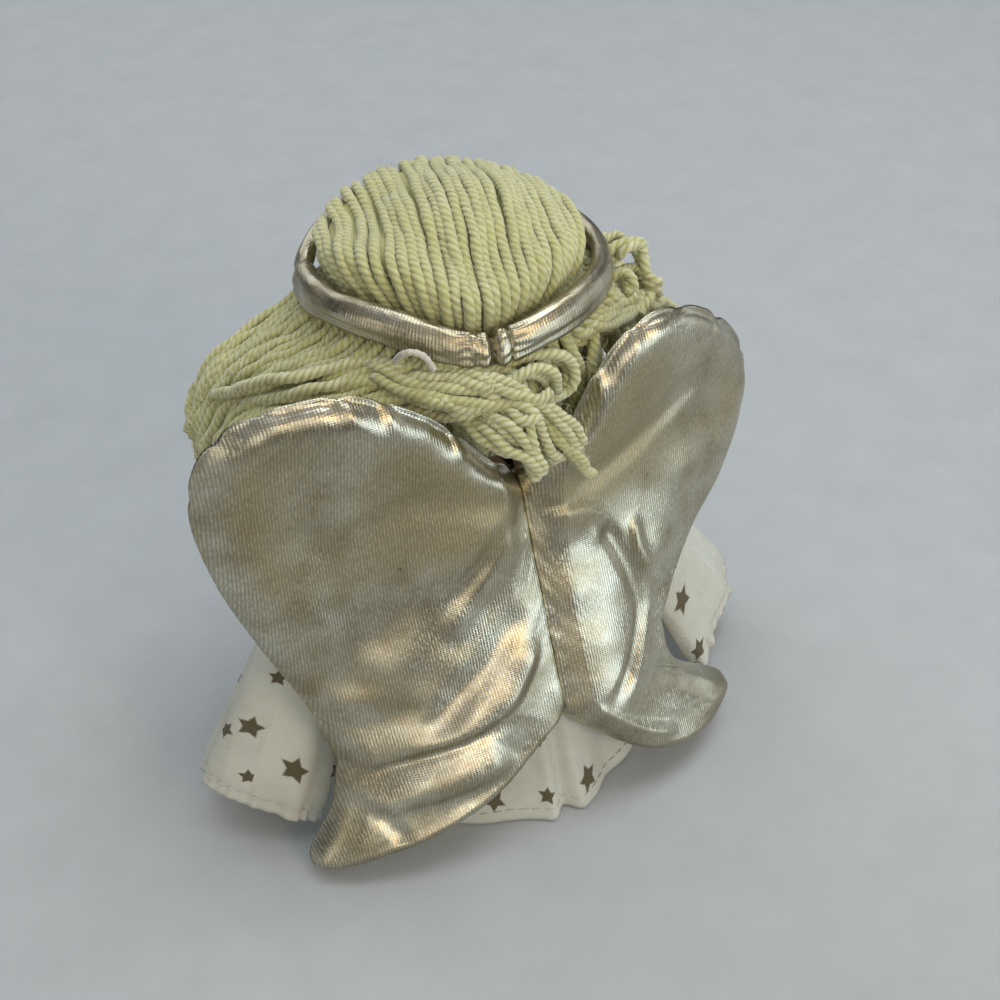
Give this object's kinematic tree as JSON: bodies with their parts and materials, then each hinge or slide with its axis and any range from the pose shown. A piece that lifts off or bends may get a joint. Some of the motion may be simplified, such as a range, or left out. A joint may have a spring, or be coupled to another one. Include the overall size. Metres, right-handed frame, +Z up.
{
  "type": "cloth angel doll",
  "caption": "Small seated cloth angel doll with a yarn wig, a padded foil halo and wings, a star-print gown with bell sleeves, and soft limbs that swing at their seams.",
  "frame": {"origin": "centre of the flat seat panel, on the plane the doll sits on", "axes": "+Z up, -Y the way the doll faces, +X its left hand"},
  "size_m": [0.1218, 0.1016, 0.1133],
  "materials": {
    "muslin": "plain woven cotton, natural",
    "skin_cloth": "plain woven cotton, skin tone",
    "star_cotton": "woven cotton, ivory with small printed stars",
    "foil_knit": "knit cloth with a champagne foil coat",
    "yellow_yarn": "plied acrylic yarn",
    "fibre_filling": "loose polyester fibre",
    "thread": "cotton thread and tape",
    "dark_thread": "worked cotton thread",
    "elastic": "covered elastic cord"
  },
  "bodies": {
    "torso": {"seat_panel": "muslin", "body_cover": "muslin", "body_filling": "fibre_filling", "gown_back_panel": "star_cotton", "gown_front_panel": "star_cotton", "neckband": "star_cotton", "wing_seam_cord": "thread", "wing_tape": "thread"},
    "neck": {"neck": "skin_cloth"},
    "head": {"head_cover": "skin_cloth", "head_filling": "fibre_filling", "left_eye": "dark_thread", "right_eye": "dark_thread", "mouth_stitch": "dark_thread", "hair_crown": "yellow_yarn", "hair_fringe": "yellow_yarn", "hair_left_lock": "yellow_yarn", "hair_right_lock": "yellow_yarn", "hair_ponytail": "yellow_yarn", "hair_tie": "thread", "halo_cover": "foil_knit", "halo_filling": "fibre_filling", "halo_join": "foil_knit"},
    "left_arm": {"left_arm": "skin_cloth", "left_sleeve": "star_cotton", "left_cuff_elastic": "elastic"},
    "left_leg": {"left_leg": "skin_cloth", "left_bootie": "star_cotton"},
    "left_wing": {"left_wing_back_panel": "foil_knit", "left_wing_front_panel": "foil_knit", "left_wing_filling": "fibre_filling"},
    "right_arm": {"right_arm": "skin_cloth", "right_sleeve": "star_cotton", "right_cuff_elastic": "elastic"},
    "right_leg": {"right_leg": "skin_cloth", "right_bootie": "star_cotton"},
    "right_wing": {"right_wing_back_panel": "foil_knit", "right_wing_front_panel": "foil_knit", "right_wing_filling": "fibre_filling"}
  },
  "joints": [
    {"name": "head_nod", "type": "hinge", "parent": "torso", "child": "neck", "pos_m": [0, 0, 0.063], "axis": [1, 0, 0], "range_deg": [0, 15], "stiffness_Nm_per_rad": 0.15, "deforming": ["hair_left_lock", "hair_right_lock", "hair_ponytail", "hair_tie"]},
    {"name": "head_turn", "type": "hinge", "parent": "neck", "child": "head", "pos_m": [0, 0, 0.063], "axis": [0, 0, 1], "range_deg": [-6, 36], "stiffness_Nm_per_rad": 0.05, "deforming": ["hair_left_lock", "hair_right_lock", "hair_ponytail", "hair_tie"]},
    {"name": "left_arm_swing", "type": "hinge", "parent": "torso", "child": "left_arm", "pos_m": [0.0244, 0, 0.051], "axis": [-1, 0, 0], "range_deg": [0, 75]},
    {"name": "left_leg_swing", "type": "hinge", "parent": "torso", "child": "left_leg", "pos_m": [0.0125, -0.02339, 0.0077], "axis": [1, 0, 0], "range_deg": [0, 70]},
    {"name": "left_wing_fold", "type": "hinge", "parent": "torso", "child": "left_wing", "pos_m": [0, 0.0255, 0.046], "axis": [0, -0.3827, 0.9239], "range_deg": [0, 30], "stiffness_Nm_per_rad": 0.05},
    {"name": "right_arm_swing", "type": "hinge", "parent": "torso", "child": "right_arm", "pos_m": [-0.0244, 0, 0.051], "axis": [-1, 0, 0], "range_deg": [0, 75]},
    {"name": "right_leg_swing", "type": "hinge", "parent": "torso", "child": "right_leg", "pos_m": [-0.0125, -0.02339, 0.0077], "axis": [1, 0, 0], "range_deg": [0, 70]},
    {"name": "right_wing_fold", "type": "hinge", "parent": "torso", "child": "right_wing", "pos_m": [0, 0.0255, 0.046], "axis": [0, 0.3827, -0.9239], "range_deg": [0, 30], "stiffness_Nm_per_rad": 0.05}
  ]
}
